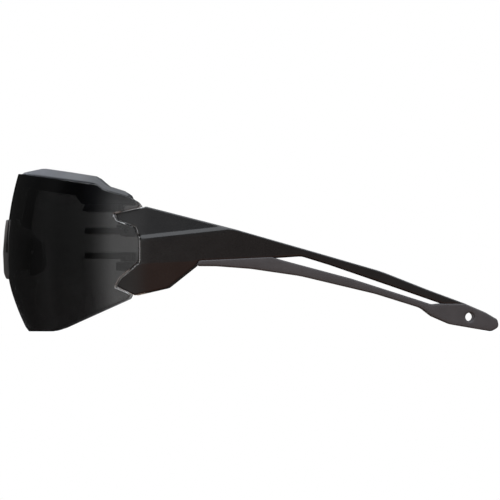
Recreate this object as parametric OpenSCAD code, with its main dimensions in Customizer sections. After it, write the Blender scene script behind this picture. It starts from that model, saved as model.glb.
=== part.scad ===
// Wrap-around safety glasses: a one-piece lens with a brow bar, a nose bridge with two
// adjustable pads, and two forked temples that fold on short vertical pins.
// The wearer's left is +X, the glasses look along -Y, and they stand on Z = 0.

/* [Overall] */
// Length from the nose bridge to the temple tips
overall_l = 165; // [158:1:174]
// Width across the lens at its widest
overall_w = 136; // [132:1:140]

/* [Lens] */
// Height of the lens at the front
lens_h = 52.3; // [50:0.1:56]
// Lens thickness
lens_t = 2.2; // [1.8:0.1:2.6]
// How far the lens face lies behind the nose bridge's face
lens_set_back = 1.2; // [0.8:0.1:1.6]
// Plan radius of the front of the lens
front_r = 92; // [86:1:110]
// Plan radius of each side of the lens
side_r = 39.7; // [37:0.1:42]
// Radius of the lens from top to bottom
rise_r = 95; // [85:1:130]
// Height of the lens's foremost line
equator_z = 25.6; // [22:0.1:29]
// Fall of the lens's top edge towards the hinges
top_slope = 8.2; // [6:0.1:10]
// Distance from the front to the lens's rear edge
lens_rear_y = 45.7; // [44:0.1:47]
// Half the width of the nose arch at its foot
arch_half_w = 27; // [24:0.5:30]
// Height of the top of the nose arch
arch_top_z = 26.4; // [24:0.1:28]
// How far the rails of the lens stand in from its inner face
rail_depth = 0.8; // [0.5:0.1:1]
// Height of each rail
rail_h = 0.6; // [0.4:0.1:0.8]

/* [Brow bar] */
// Height of the brow bar above the lens's top edge
brow_rise = 2.5; // [1.8:0.1:3.2]
// Distance of the bar's face behind the lens's face
brow_set_back = 1.2; // [0.6:0.1:1.6]
// Thickness of the bar behind the lens
brow_t = 2.5; // [2:0.1:3.5]
// Depth of the bar's lip below the lens's top edge
brow_lip_h = 4; // [3:0.1:6]
// Thickness of the soft guard behind the bar
guard_t = 2.3; // [1.5:0.1:3]

/* [Nose] */
// Half the width of the bridge
bridge_half_w = 5; // [4:0.1:6]
// Distance from the front to the back of the bridge
bridge_depth = 11.2; // [10:0.1:12]
// Half the width of the stem between the bridge and the brow bar
stem_half_w = 3.8; // [3:0.1:5]
// Thickness of the stem
stem_t = 3.2; // [2.4:0.1:4]
// Distance of each pad's middle from the centre plane
pad_x = 9.5; // [8.5:0.1:11]
// Thickness of each pad
pad_t = 2.4; // [2:0.1:3]
// Angle of each pad away from the fore-and-aft line
pad_splay = 28; // [15:1:35]
// Angle of each pad away from the vertical
pad_flare = 12; // [5:1:18]
// Radius of the wire inside each pad
wire_r = 0.6; // [0.4:0.05:0.8]

/* [Hinges] */
// Distance of each hinge axis in from the lens's widest point
hinge_in = 8; // [7:0.1:9]
// Distance of the hinge axes from the front
hinge_y = 41.7; // [41:0.1:42.4]
// Radius of the hinge pins
pin_r = 0.75; // [0.6:0.05:0.9]
// Distance of the underside of the upper fixed lug below the top of the lens
upper_lug_drop = 20.7; // [20:0.1:21.5]
// Distance between the undersides of the two fixed lugs
lug_spacing = 8.3; // [7.6:0.1:9]
// Height of the upper fixed lug
upper_lug_h = 3.7; // [3:0.1:3.9]
// Height of the lower fixed lug
lower_lug_h = 3; // [2.6:0.1:3.4]
// Height of each of the temple's own lugs
temple_lug_h = 2.8; // [2.2:0.1:3]
// Height of each prong that slides in between the lens's rails
prong_h = 2; // [1.6:0.1:2.2]
// Distance from the front to the prongs' sharp ends
prong_front_y = 27.6; // [26:0.1:30]
// Thickness of the prongs
prong_t = 1.8; // [1.2:0.1:2.2]

/* [Temples] */
// Thickness of the hard arm
arm_t = 3.5; // [3:0.1:4]
// Thickness of the soft fork and tip
grip_t = 3.8; // [3.2:0.1:4.4]
// Plan radius of each temple
temple_r = 741; // [600:1:1000]
// Lean of the facet above the stripe
upper_facet_lean = 6; // [3:1:8]
// Lean of the facet below the main one
lower_facet_lean = 9; // [6:1:12]
// Width of the stripe between the facets
stripe_w = 1.3; // [0.8:0.1:1.8]
// Thickness of the arm's tongues inside the soft parts
tongue_t = 1.2; // [1:0.1:1.4]
// Radius of the lanyard hole in each tip
lanyard_r = 1.45; // [1.2:0.05:1.6]

/* [Fits] */
// Gap between pieces that are fixed together
fit = 0.1; // [0.05:0.01:0.15]
// Gap between a pin and its hole
run = 0.05; // [0.03:0.01:0.08]
// Gap between the lugs, and between the temple and the lens
swing = 0.3; // [0.25:0.01:0.4]

/* [Hidden] */
$fn = 96;

// The plan curve of the lens: a front arc and two side arcs that meet at the bend angle
bend = asin((overall_w / 2 - side_r) / (front_r - side_r));
front_axis_y = lens_set_back + front_r;
side_axis_x = (front_r - side_r) * sin(bend);
side_axis_y = front_axis_y - (front_r - side_r) * cos(bend);
// Angle that the shells run on past the widest point, and how far cutters run past a face
over_sweep = 4;
past = 6;
seam = 0.02;
seam_lap = 0.4;

// Places that are worked out from the hinges
hinge_x = overall_w / 2 - hinge_in;
upper_lug_z = lens_h - upper_lug_drop;
lower_lug_z = upper_lug_z - lug_spacing;
upper_temple_lug_z = upper_lug_z + upper_lug_h + swing;
lower_temple_lug_z = lower_lug_z - swing - temple_lug_h;
upper_prong_z = upper_lug_z + (upper_lug_h - prong_h) / 2;
lower_prong_z = lower_lug_z + lower_lug_h - prong_h - fit;

// The top edge of the lens: a long slope, a step down at each side, and a steeper slope
top_run_y = 6.3;
step_y = lens_rear_y - 14.2;
step_run = 2.6;
step_h = 1.4;
end_slope = 8;
function lens_top(y) = lens_h - (y - top_run_y) * tan(top_slope);
function lens_end(y) = lens_top(y) - step_h - (y - step_y - step_run) * tan(end_slope);

// The brow clip lies below the end of that edge
clip_h = 2.2;
clip_z = lens_top(lens_rear_y) - 6.7;
clip_rear_y = hinge_y - 2.6;
clip_hook_t = 1.2;
tail_z = clip_z + clip_h + fit;

// Distance of the arm's inner face from the hinge axis, and the claw's lowest corner by the lug
arm_in = side_axis_x + side_r - arm_t - hinge_x;
claw_z = upper_lug_z + 3;
// Reach of the fixed lugs from the hinge axis: inwards, to the front and to the rear
lug_inboard = 2;
lug_front = 2;
lug_rear = 3;

// Corner of an outline: [y, z, r] is rounded to radius r, as far as its sides allow
function unit(v) = v / norm(v);
function flat(p) = [p[0], p[1]];
function turned(v, a) = [v.x * cos(a) - v.y * sin(a), v.x * sin(a) + v.y * cos(a)];
function corner(a, b, c) =
    let (
        u = unit(flat(a) - flat(b)),
        v = unit(flat(c) - flat(b)),
        half = acos(u * v) / 2,
        room = 0.45 * min(norm(flat(a) - flat(b)), norm(flat(c) - flat(b))),
        r = min(b[2], room * tan(half)),
        centre = flat(b) + unit(u + v) * r / sin(half),
        start = flat(b) + u * r / tan(half) - centre,
        turn = sign(u.x * v.y - u.y * v.x) * (2 * half - 180),
        steps = ceil(abs(turn) / 15)
    )
    [for (k = [0:steps]) centre + turned(start, turn * k / steps)];
function rounded(p) = [
    for (i = [0:len(p) - 1])
        let (before = p[(i + len(p) - 1) % len(p)], after = p[(i + 1) % len(p)])
        each (len(p[i]) < 3 ? [p[i]] : corner(before, p[i], after))
];

// Outlines in the side view, as [distance from the front, height, corner radius]
tab_y = lens_rear_y - 7.8;
function lens_top_edge(lift) = [
    [-past, lens_top(-past) + lift],
    [step_y, lens_top(step_y) + lift, 3],
    [step_y + step_run, lens_end(step_y + step_run) + lift, 3],
    [lens_rear_y - 3.2, lens_end(lens_rear_y - 3.2) + lift, 1],
    [lens_rear_y + 0.3, clip_z + 2.6 + lift, 1.2]
];
lens_outline = concat(lens_top_edge(0), [
    [lens_rear_y - 0.3, clip_z + 1.2, 0.3],
    [tab_y - 1, clip_z - 0.7, 0.6],
    [tab_y + 0.3, upper_temple_lug_z + 0.9, 1],
    [lens_rear_y - 1.4, upper_lug_z + 2.6, 1.2],
    [lens_rear_y, upper_lug_z - 1, 3],
    [lens_rear_y, lower_lug_z, 1],
    [tab_y + 1.1, lower_temple_lug_z - 2.6, 3],
    [tab_y - 0.3, lower_temple_lug_z - 5.8, 0.5],
    [lens_rear_y - 2.9, lower_temple_lug_z - 7.9, 0.8],
    [lens_rear_y - 3.8, lower_temple_lug_z - 9.4, 1],
    [18.7, 0.9, 3],
    [12, 0],
    [-past, 0]
]);
brow_end_y = lens_rear_y - 1.7;
brow_outline = [
    [-past, lens_top(6) + 0.5],
    [6, lens_top(6) + 0.5],
    [10.9, lens_top(10.9) + brow_rise, 1.5],
    [step_y - 1.5, lens_top(step_y - 1.5) + brow_rise, 2],
    [step_y + 3, lens_end(step_y + 3) + 1.4, 2],
    [lens_rear_y - 5.3, lens_end(lens_rear_y - 5.3) + 1.4, 1.5],
    [lens_rear_y - 3, lens_end(lens_rear_y - 3) + 0.2, 0.8],
    [brow_end_y, tail_z + 1.6, 0.8],
    [brow_end_y - 0.3, tail_z, 0.6],
    [prong_front_y + 0.8, tail_z, 0.5],
    [prong_front_y - 1.8, lens_top(prong_front_y - 1.8) - brow_lip_h, 1.5],
    [-past, lens_top(-past) - brow_lip_h]
];
guard_outline = [
    [-past, lens_top(-past) + 0.9],
    [prong_front_y - 0.6, lens_top(prong_front_y - 0.6) + 0.9, 1],
    [prong_front_y, tail_z + 2.4, 1],
    [prong_front_y - 1.8, lens_top(prong_front_y - 1.8) - brow_lip_h, 1.5],
    [-past, lens_top(-past) - brow_lip_h]
];
bridge_top_z = arch_top_z + 10.9;
bridge_low_z = arch_top_z - 9;
bridge_outline = [
    [lens_set_back + 0.1, bridge_top_z],
    [0, bridge_top_z - 8.4, 4],
    [0, arch_top_z - 1.2, 4],
    [0.6, bridge_low_z, 0.4],
    [2, bridge_low_z, 0.4],
    [4.6, bridge_low_z + 3, 2],
    [bridge_depth, bridge_low_z + 3.4, 1],
    [bridge_depth, arch_top_z + 6.6, 2],
    [6.2, arch_top_z + 8.6, 1],
    [lens_set_back + lens_t + 1, bridge_top_z]
];
pad_y = 11.6;
pad_z = arch_top_z - 1.1;
pad_outline = [
    [pad_y - 2.7, pad_z - 7.4, 0.6],
    [pad_y + 1.8, pad_z - 5.4, 1],
    [pad_y + 2.6, pad_z - 2.8, 1],
    [pad_y + 2.1, pad_z + 4.6, 1.2],
    [pad_y - 2.3, pad_z + 7.4, 0.6]
];
wire_y = pad_y - 1.6;

// The temple's outline: the two claws round the lens's tab, the forked blade and the tip.
// A point of the blade is a share of the way along it, and a height above the straight line
// that falls from the lower lug to the top of the tip
arm_front_y = lens_rear_y + swing;
tip_y = overall_l - 10.8;
tip_z = 9.1;
blade_front_y = tab_y + 28;
blade_rear_y = overall_l - 26;
function blade(share, above) = [
    blade_front_y + share * (blade_rear_y - blade_front_y),
    lower_lug_z + share * (tip_z - lower_lug_z) + above
];
function bent(p, r) = [p[0], p[1], r];
fork = blade(0.339, 6);
fork_y = fork[0];
fork_z = fork[1];
arm_outline = [
    [tab_y, clip_z - 0.8, 0.4],
    [lens_rear_y + 2.4, clip_z + 1.5, 2],
    blade(0.166, 12.8),
    bent(blade(0.535, 10.3), 30),
    bent(blade(0.822, 8.3), 30),
    [overall_l - 24, tip_z + 4.9, 20],
    [tip_y, tip_z],
    [overall_l - 18.4, tip_z],
    blade(0.891, 3.9),
    bent(blade(0.591, 7.2), 20),
    [fork_y + 8.8, fork_z + 0.6, 5],
    [fork_y + 3.6, fork_z + 0.6, 3],
    [fork_y, fork_z],
    [blade_front_y, lower_lug_z + 0.1],
    [tab_y + 26.6, lower_temple_lug_z + 1.6, 2],
    [tab_y + 17.3, lower_temple_lug_z - 5.8, 3],
    [tab_y + 6.5, lower_temple_lug_z - 8.3, 1],
    [tab_y + 0.3, lower_temple_lug_z - 5.3, 0.5],
    [tab_y + 1.6, lower_temple_lug_z - 2.9, 3],
    [arm_front_y, lower_lug_z - 0.4, 1],
    [arm_front_y, upper_lug_z - 1, 3],
    [arm_front_y - 1.2, claw_z, 1.2],
    [tab_y + 0.6, upper_temple_lug_z + 1.4, 1]
];
grip_front_y = tab_y + 27;
grip_outline = [
    [grip_front_y, lower_temple_lug_z + 1.7, 0.3],
    [grip_front_y + 1.1, lower_lug_z - 0.05],
    [fork_y, fork_z - fit],
    [fork_y + 5, fork_z - 1.5, 6],
    blade(0.685, 4),
    [blade_rear_y, tip_z + 1.1],
    [overall_l - 22.4, tip_z - fit, 3],
    [tip_y - 0.1, tip_z - fit],
    [overall_l - 4.6, 6.4, 4],
    [overall_l - 0.5, 4, 1.5],
    [overall_l, 1.5, 1.5],
    [overall_l - 2.6, 0, 2],
    [overall_l - 16, 2.3, 6],
    [overall_l - 22.2, 5, 4],
    [overall_l - 25.8, 7.8, 5],
    bent(blade(0.8, 0.5), 20),
    bent(blade(0.454, 1.6), 20),
    bent(blade(0.227, 0.8), 20),
    [grip_front_y + 6, lower_temple_lug_z + 1.7, 5]
];
lanyard_y = overall_l - 9.7;
lanyard_z = 4.8;
// The arm's tongues inside the soft parts, as [first y, last y, lowest z, highest z]
tongues = [
    [fork_y - 14, fork_y - 0.7, fork_z - 1.4, fork_z + 0.3],
    [overall_l - 17.8, overall_l - 12.6, tip_z - 2.4, tip_z + 0.8]
];

// Outline of the nose arch in the front view, grown outwards
function arch_side(grow) = [
    [arch_half_w + past, -past - 0.4],
    [arch_half_w + 0.4 + grow, -0.6, 1],
    [arch_half_w - 2.4 + grow, 1.4 + grow, 3],
    [arch_half_w - 9 + grow, 9 + grow, 8],
    [8.4 + grow, 17.6 + grow, 5],
    [bridge_half_w + 0.8 + grow, arch_top_z + grow, 3]
];
function arch_outline(grow) = let (half = arch_side(grow)) concat(
    half,
    [for (i = [len(half) - 1:-1:0]) [-half[i][0], half[i][1], len(half[i]) < 3 ? 0 : half[i][2]]]
);

// Moves what is drawn from the front of the glasses to the middle of their length
module placed() {
    translate([0, -overall_l / 2, 0]) children();
}
module mirrored(side) {
    mirror([side == "right" ? 1 : 0, 0, 0]) children();
}
// Side-view outline drawn from one X to another
module along_x(x0, x1) {
    translate([x0, 0, 0]) rotate([90, 0, 90]) linear_extrude(x1 - x0) children();
}
// Front-view outline drawn from one Y to another
module along_y(y0, y1) {
    translate([0, y1, 0]) rotate([90, 0, 0]) linear_extrude(y1 - y0) children();
}

// Section between two distances in from the lens's outer face, at a plan radius r
module shell_section(r, outer, inner, z0, z1) {
    intersection() {
        difference() {
            translate([r - rise_r, equator_z]) circle(rise_r - outer);
            translate([r - rise_r, equator_z]) circle(rise_r - inner);
        }
        translate([r - 25, z0]) square([30, z1 - z0]);
    }
}
module front_shell(outer, inner, z0, z1, half_angle) {
    translate([0, front_axis_y, 0])
        rotate([0, 0, -90 - half_angle])
            rotate_extrude(angle = 2 * half_angle) shell_section(front_r, outer, inner, z0, z1);
}
// The same round the left side, from inside the front shell to past the widest point
module side_shell(outer, inner, z0, z1) {
    front_angle = 90 - bend + seam_lap;
    translate([side_axis_x, side_axis_y, 0])
        rotate([0, 0, -front_angle])
            rotate_extrude(angle = front_angle + over_sweep)
                shell_section(side_r, outer, inner, z0, z1);
}
// The side shells start inside the front shell, and lie a seam deeper than its two faces
module wrap(outer, inner, z0, z1) {
    front_shell(outer, inner, z0, z1, bend);
    for (side = ["left", "right"])
        mirrored(side) side_shell(outer + seam, inner - seam, z0, z1);
}
// A band round the left side between two distances from the front
module side_band(outer, inner, z, h, y0, y1) {
    intersection() {
        side_shell(outer, inner, z, z + h);
        translate([side_axis_x, y0, z - past]) cube([side_r + past, y1 - y0, h + 2 * past]);
    }
}

// What lies under the lens's top edge, out to its own faces and a gap more
module lens_seat(gap) {
    intersection() {
        wrap(-past, lens_t + gap, -past, lens_h + past);
        along_x(-overall_w, overall_w)
            polygon(rounded(concat(lens_top_edge(gap), [[lens_rear_y + 0.3, -past], [-past, -past]])));
    }
}
// Two rails behind the lens that hold a prong between them
module rails(prong_z, h) {
    for (z = [prong_z - rail_h - 2 * fit, prong_z + h + 2 * fit])
        side_band(lens_t - 0.4, lens_t + rail_depth, z, rail_h, prong_front_y + 0.6, hinge_y - lug_front - swing);
}
module lens() {
    color([0.1, 0.1, 0.11, 0.75])
    placed() difference() {
        union() {
            intersection() {
                wrap(0, lens_t, -past / 2, lens_h + past / 2);
                along_x(-overall_w, overall_w) polygon(rounded(lens_outline));
            }
            for (side = ["left", "right"])
                mirrored(side) {
                    rails(upper_prong_z, prong_h);
                    rails(lower_prong_z, prong_h);
                }
        }
        along_y(-past, side_axis_y) polygon(rounded(arch_outline(0)));
    }
}
module brow_bar() {
    color("dimgray")
    placed() difference() {
        intersection() {
            wrap(brow_set_back, lens_t + brow_t, 0, lens_h + 2 * past);
            along_x(-overall_w, overall_w) polygon(rounded(brow_outline));
        }
        lens_seat(fit);
    }
}
module brow_guard() {
    guard_face = lens_t + brow_t + fit;
    color([0.12, 0.12, 0.12])
    placed() intersection() {
        wrap(guard_face, guard_face + guard_t, 0, lens_h + past);
        along_x(-overall_w, overall_w) polygon(rounded(guard_outline));
    }
}
module wire_hole(gap) {
    for (side = ["left", "right"])
        mirrored(side)
            translate([bridge_half_w - 2 - gap, wire_y, pad_z + 1])
                rotate([0, 90, 0]) cylinder(r = wire_r + gap, h = pad_x - bridge_half_w + 2.4 + 2 * gap);
}
module nose_bridge() {
    stem_face = lens_t + 1.5;
    color([0.16, 0.16, 0.17])
    placed() difference() {
        union() {
            along_x(-bridge_half_w, bridge_half_w) polygon(rounded(bridge_outline));
            intersection() {
                front_shell(stem_face, stem_face + stem_t, arch_top_z + 4, lens_h, asin(stem_half_w / front_r));
                along_x(-past, past) polygon([
                    [0, 0],
                    [0, lens_top(0) - brow_lip_h - fit],
                    [bridge_depth, lens_top(bridge_depth) - brow_lip_h - fit],
                    [bridge_depth, 0]
                ]);
            }
        }
        difference() {
            front_shell(-fit, lens_t + fit, 0, lens_h, 10);
            along_y(-past, side_axis_y) polygon(rounded(arch_outline(-fit)));
        }
        wire_hole(fit);
    }
}
module nose_pad(side) {
    color([0.1, 0.1, 0.1])
    placed() difference() {
        mirrored(side) intersection() {
            along_x(0, 2 * pad_x) polygon(rounded(pad_outline));
            translate([pad_x, pad_y, pad_z])
                rotate([0, -pad_flare, -pad_splay]) cube([pad_t, 30, 30], center = true);
        }
        wire_hole(fit);
    }
}
module nose_wire(side) {
    color("silver")
    placed() intersection() {
        wire_hole(0);
        mirrored(side) cube([2 * pad_x, overall_l, lens_h]);
    }
}
module brow_clip(side) {
    hook_face = lens_t + brow_t + fit;
    base_y = clip_rear_y - 5;
    color([0.14, 0.14, 0.14])
    placed() mirrored(side) {
        side_band(lens_t + fit, lens_t + fit + prong_t, clip_z, clip_h, prong_front_y, clip_rear_y - 1);
        side_band(lens_t + fit, hook_face + clip_hook_t, clip_z, clip_h, base_y, clip_rear_y);
        side_band(hook_face, hook_face + clip_hook_t, clip_z, clip_h + 2.4, base_y, clip_rear_y);
    }
}
module hinge_hole(z, h, gap) {
    translate([hinge_x, hinge_y, z]) cylinder(r = pin_r + gap, h = h);
}
// The knuckle round the pin: square below, round above where the temple's claw swings past it
module knuckle(z, h) {
    square_h = min(h, claw_z - 2 * swing - z);
    intersection() {
        translate([hinge_x - lug_inboard, hinge_y - lug_front, z])
            cube([side_axis_x + side_r - hinge_x + lug_inboard, lug_front + lug_rear, h]);
        union() {
            translate([hinge_x, hinge_y, z]) cylinder(r = arm_in - 1.1, h = h);
            translate([hinge_x - lug_inboard, hinge_y - lug_front, z - 1])
                cube([overall_w, lug_front + lug_rear, square_h + 1]);
        }
    }
}
// Lug that is fixed behind the lens: a prong between the rails and a knuckle for the pin
module hinge_lug(side, z, h, prong_z) {
    color([0.13, 0.13, 0.14])
    placed() mirrored(side) difference() {
        union() {
            side_band(
                lens_t + fit, lens_t + fit + prong_t, prong_z, prong_h,
                prong_front_y, hinge_y - lug_front + 0.5
            );
            difference() {
                knuckle(z, h);
                side_shell(-past, lens_t + fit, z - 1, z + h + 1);
            }
        }
        hinge_hole(z - 1, h + 2, run);
    }
}
module hinge_pin(side, z, top_z) {
    color("gainsboro")
    placed() mirrored(side) hinge_hole(z, top_z - z, 0);
}

// Plan curve at a distance in from the temple's outer face: on from the lens's side arc, with
// points close enough that it strays less than 0.02 mm from its two arcs
claw_sweep = 20;
function on_arc(centre_x, r, a) = [centre_x + r * cos(a), side_axis_y + r * sin(a)];
function temple_line(inset) =
    let (rear = asin((overall_l + past - side_axis_y) / temple_r))
    concat(
        [for (a = [-claw_sweep:2.5:-2.5]) on_arc(side_axis_x, side_r - inset, a)],
        [for (k = [0:12]) on_arc(side_axis_x + side_r - temple_r, temple_r - inset, rear * k / 12)]
    );
module temple_box(outer, inner) {
    face = temple_line(outer);
    back = temple_line(inner);
    translate([0, 0, -past])
        linear_extrude(lens_h + 2 * past)
            polygon(concat(face, [for (i = [len(back) - 1:-1:0]) back[i]]));
}
// Carries a cutting section along the same curve; its x is 0 on the outer face
module temple_path(rear_y) {
    $fn = 720;
    translate([side_axis_x, side_axis_y, 0])
        rotate([0, 0, -claw_sweep])
            rotate_extrude(angle = claw_sweep + seam_lap) translate([side_r - seam, 0]) children();
    translate([side_axis_x + side_r - temple_r, side_axis_y, 0])
        rotate_extrude(angle = asin((rear_y - side_axis_y) / temple_r)) translate([temple_r, 0]) children();
}
// Carries a cutting section along the temple with its crease on a line that rises rearwards
module crease(z, slope, rear_y) {
    translate([0, side_axis_y, z])
        rotate([slope, 0, 0]) translate([0, -side_axis_y, 0]) temple_path(rear_y) children();
}
upper_crease_z = lower_lug_z + 7.6;
lower_crease_z = lower_lug_z - 0.7;
module arm_facets() {
    stripe_in = stripe_w * 0.55;
    top = 20;
    crease(upper_crease_z, 6.2, overall_l) polygon([
        [0, 0],
        [-stripe_in, stripe_w],
        [-stripe_in - (top - stripe_w) * tan(upper_facet_lean), top],
        [past, top],
        [past, 0]
    ]);
    crease(lower_crease_z, 2.6, fork_y) polygon([
        [0, 0],
        [past, 0],
        [past, -top],
        [-top * tan(lower_facet_lean), -top]
    ]);
}
module tongue_shapes(gap) {
    middle = arm_t / 2;
    for (t = tongues)
        intersection() {
            temple_box(middle - tongue_t / 2 - gap, middle + tongue_t / 2 + gap);
            along_x(0, overall_w)
                translate([t[0] - gap, t[2] - gap]) square([t[1] - t[0] + 2 * gap, t[3] - t[2] + gap]);
        }
}
// The temple's own lug, as corners from the hinge axis: inboard of the lens, then out to the arm
module temple_lug(z, corners) {
    translate([hinge_x, hinge_y, z]) linear_extrude(temple_lug_h) polygon(corners);
}
module temple_arm(side) {
    color([0.15, 0.15, 0.15])
    placed() mirrored(side) difference() {
        union() {
            difference() {
                intersection() {
                    temple_box(0, arm_t);
                    along_x(0, overall_w) polygon(rounded(arm_outline));
                }
                arm_facets();
            }
            tongue_shapes(0);
            temple_lug(upper_temple_lug_z, [
                [-lug_inboard, -3],
                [2.5, -3],
                [2.5, -1],
                [arm_in + 0.3, 1],
                [arm_in + 0.3, 3.5],
                [-lug_inboard, 3.5]
            ]);
            temple_lug(lower_temple_lug_z, [
                [-lug_inboard, -3.5],
                [2.4, -3.5],
                [2.4, 3.2],
                [arm_in + 0.6, 5],
                [arm_in + 0.6, 7],
                [0, 6.5],
                [-lug_inboard, 4.5]
            ]);
        }
        hinge_hole(0, lens_h, run);
    }
}
module temple_grip(side) {
    color([0.28, 0.275, 0.28])
    placed() mirrored(side) difference() {
        intersection() {
            temple_box((arm_t - grip_t) / 2, (arm_t + grip_t) / 2);
            along_x(0, overall_w) polygon(rounded(grip_outline));
        }
        tongue_shapes(fit);
        lanyard_hole();
    }
}
// The hole is square to the tip, which toes in by this angle
toe_in = asin((lanyard_y - side_axis_y) / temple_r);
module lanyard_hole() {
    translate([side_axis_x + side_r - temple_r, side_axis_y, lanyard_z])
        rotate([0, 90, toe_in])
            translate([0, 0, temple_r - arm_t - past]) cylinder(r = lanyard_r, h = arm_t + 2 * past);
}

lens();
brow_bar();
brow_guard();
nose_bridge();
for (side = ["left", "right"]) {
    nose_pad(side);
    nose_wire(side);
    brow_clip(side);
    hinge_lug(side, upper_lug_z, upper_lug_h, upper_prong_z);
    hinge_lug(side, lower_lug_z, lower_lug_h, lower_prong_z);
    hinge_pin(side, upper_lug_z, upper_temple_lug_z + temple_lug_h);
    hinge_pin(side, lower_temple_lug_z, lower_lug_z + lower_lug_h);
    temple_arm(side);
    temple_grip(side);
}
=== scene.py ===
"""Looks for the wrap-around safety glasses: rounded pieces with moulded materials round the CAD frame.

Lengths are millimetres measured from the front of the glasses (y) and from the ground (z), as in
part.scad, and become metres in the shared frame in one place, to_frame().
"""
from math import acos, asin, ceil, cos, pi, radians, sin, sqrt, tan

import bpy
import numpy as np
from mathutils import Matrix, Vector
from mathutils.bvhtree import BVHTree
from mathutils.geometry import delaunay_2d_cdt
from numpy.linalg import norm

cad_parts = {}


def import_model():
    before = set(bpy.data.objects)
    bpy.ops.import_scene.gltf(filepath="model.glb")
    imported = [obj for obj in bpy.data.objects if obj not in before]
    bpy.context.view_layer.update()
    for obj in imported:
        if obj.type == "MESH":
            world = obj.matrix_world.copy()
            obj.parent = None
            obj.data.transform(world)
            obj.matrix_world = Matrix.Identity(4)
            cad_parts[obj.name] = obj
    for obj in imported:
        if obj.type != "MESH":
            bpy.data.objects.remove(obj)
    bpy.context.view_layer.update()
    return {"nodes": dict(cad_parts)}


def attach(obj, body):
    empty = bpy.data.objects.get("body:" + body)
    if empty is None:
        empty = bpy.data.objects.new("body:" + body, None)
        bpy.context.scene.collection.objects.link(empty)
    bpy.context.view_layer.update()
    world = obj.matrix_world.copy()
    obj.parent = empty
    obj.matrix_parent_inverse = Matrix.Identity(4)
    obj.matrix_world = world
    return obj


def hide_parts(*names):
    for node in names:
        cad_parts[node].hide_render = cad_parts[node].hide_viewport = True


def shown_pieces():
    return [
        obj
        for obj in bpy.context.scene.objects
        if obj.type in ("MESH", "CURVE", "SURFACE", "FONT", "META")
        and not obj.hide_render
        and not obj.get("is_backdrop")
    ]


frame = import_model()
scene = bpy.context.scene

# ---------------- sizes, as in part.scad
OVERALL_L, OVERALL_W = 165.0, 136.0
LENS_H, LENS_T, SET_BACK = 52.3, 2.2, 1.2
FRONT_R, SIDE_R, RISE_R, EQUATOR_Z = 92.0, 39.7, 95.0, 25.6
TOP_SLOPE, LENS_REAR = radians(8.2), 45.7
BROW_RISE, BROW_BACK, BROW_T, BROW_LIP, GUARD_T = 2.5, 1.2, 2.5, 4.0, 2.3
BRIDGE_HALF_W, BRIDGE_DEPTH, STEM_HALF_W, STEM_T = 5.0, 11.2, 3.8, 3.2
ARCH_HALF_W, ARCH_TOP = 27.0, 26.4
PAD_X, PAD_T = 9.5, 2.4
HINGE_X, HINGE_Y, PIN_R = 60.0, 41.7, 0.75
UPPER_LUG_Z, LOWER_LUG_Z, UPPER_LUG_H, LOWER_LUG_H, TEMPLE_LUG_H = 31.6, 23.3, 3.7, 3.0, 2.8
PRONG_H, PRONG_FRONT, PRONG_T = 2.0, 27.6, 1.8
ARM_T, GRIP_T, TEMPLE_R, STRIPE_W = 3.5, 3.8, 741.0, 1.3
LANYARD_R, FIT, SWING = 1.45, 0.1, 0.3
MM = 0.001

BEND = asin((OVERALL_W / 2 - SIDE_R) / (FRONT_R - SIDE_R))
FRONT_AXIS_Y = SET_BACK + FRONT_R
SIDE_AXIS_X = (FRONT_R - SIDE_R) * sin(BEND)
SIDE_AXIS_Y = FRONT_AXIS_Y - (FRONT_R - SIDE_R) * cos(BEND)
UPPER_TEMPLE_LUG_Z = UPPER_LUG_Z + UPPER_LUG_H + SWING
LOWER_TEMPLE_LUG_Z = LOWER_LUG_Z - SWING - TEMPLE_LUG_H
UPPER_PRONG_Z = UPPER_LUG_Z + (UPPER_LUG_H - PRONG_H) / 2
LOWER_PRONG_Z = LOWER_LUG_Z + LOWER_LUG_H - PRONG_H - FIT
CLAW_Z = UPPER_LUG_Z + 3
STEP_Y, STEP_RUN, STEP_H, END_SLOPE = LENS_REAR - 14.2, 2.6, 1.4, radians(8)
TAB_Y = LENS_REAR - 7.8


def lens_top(y):
    """The height of the lens's sloping top edge."""
    return LENS_H - (y - 6.3) * tan(TOP_SLOPE)


def lens_end(y):
    """The height of its top edge behind the step."""
    return lens_top(y) - STEP_H - (y - STEP_Y - STEP_RUN) * tan(END_SLOPE)


CLIP_H, CLIP_Z = 2.2, lens_top(LENS_REAR) - 6.7
TAIL_Z = CLIP_Z + CLIP_H + FIT
TIP_Y, TIP_Z = OVERALL_L - 10.8, 9.1
BLADE_FRONT, BLADE_REAR = TAB_Y + 28, OVERALL_L - 26


def blade(share, above, *radius):
    """A point of the temple's blade: a share of its run, and a height above its falling line."""
    return (BLADE_FRONT + share * (BLADE_REAR - BLADE_FRONT),
            LOWER_LUG_Z + share * (TIP_Z - LOWER_LUG_Z) + above, *radius)


def on_top(y, above, *radius):
    """A point at a height above the lens's top edge."""
    return (y, lens_top(y) + above, *radius)


def on_end(y, above, *radius):
    """A point at a height above the edge's rear stretch, past its step."""
    return (y, lens_end(y) + above, *radius)


FORK_Y, FORK_Z = blade(0.339, 6)
ARM_FRONT = LENS_REAR + SWING

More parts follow.
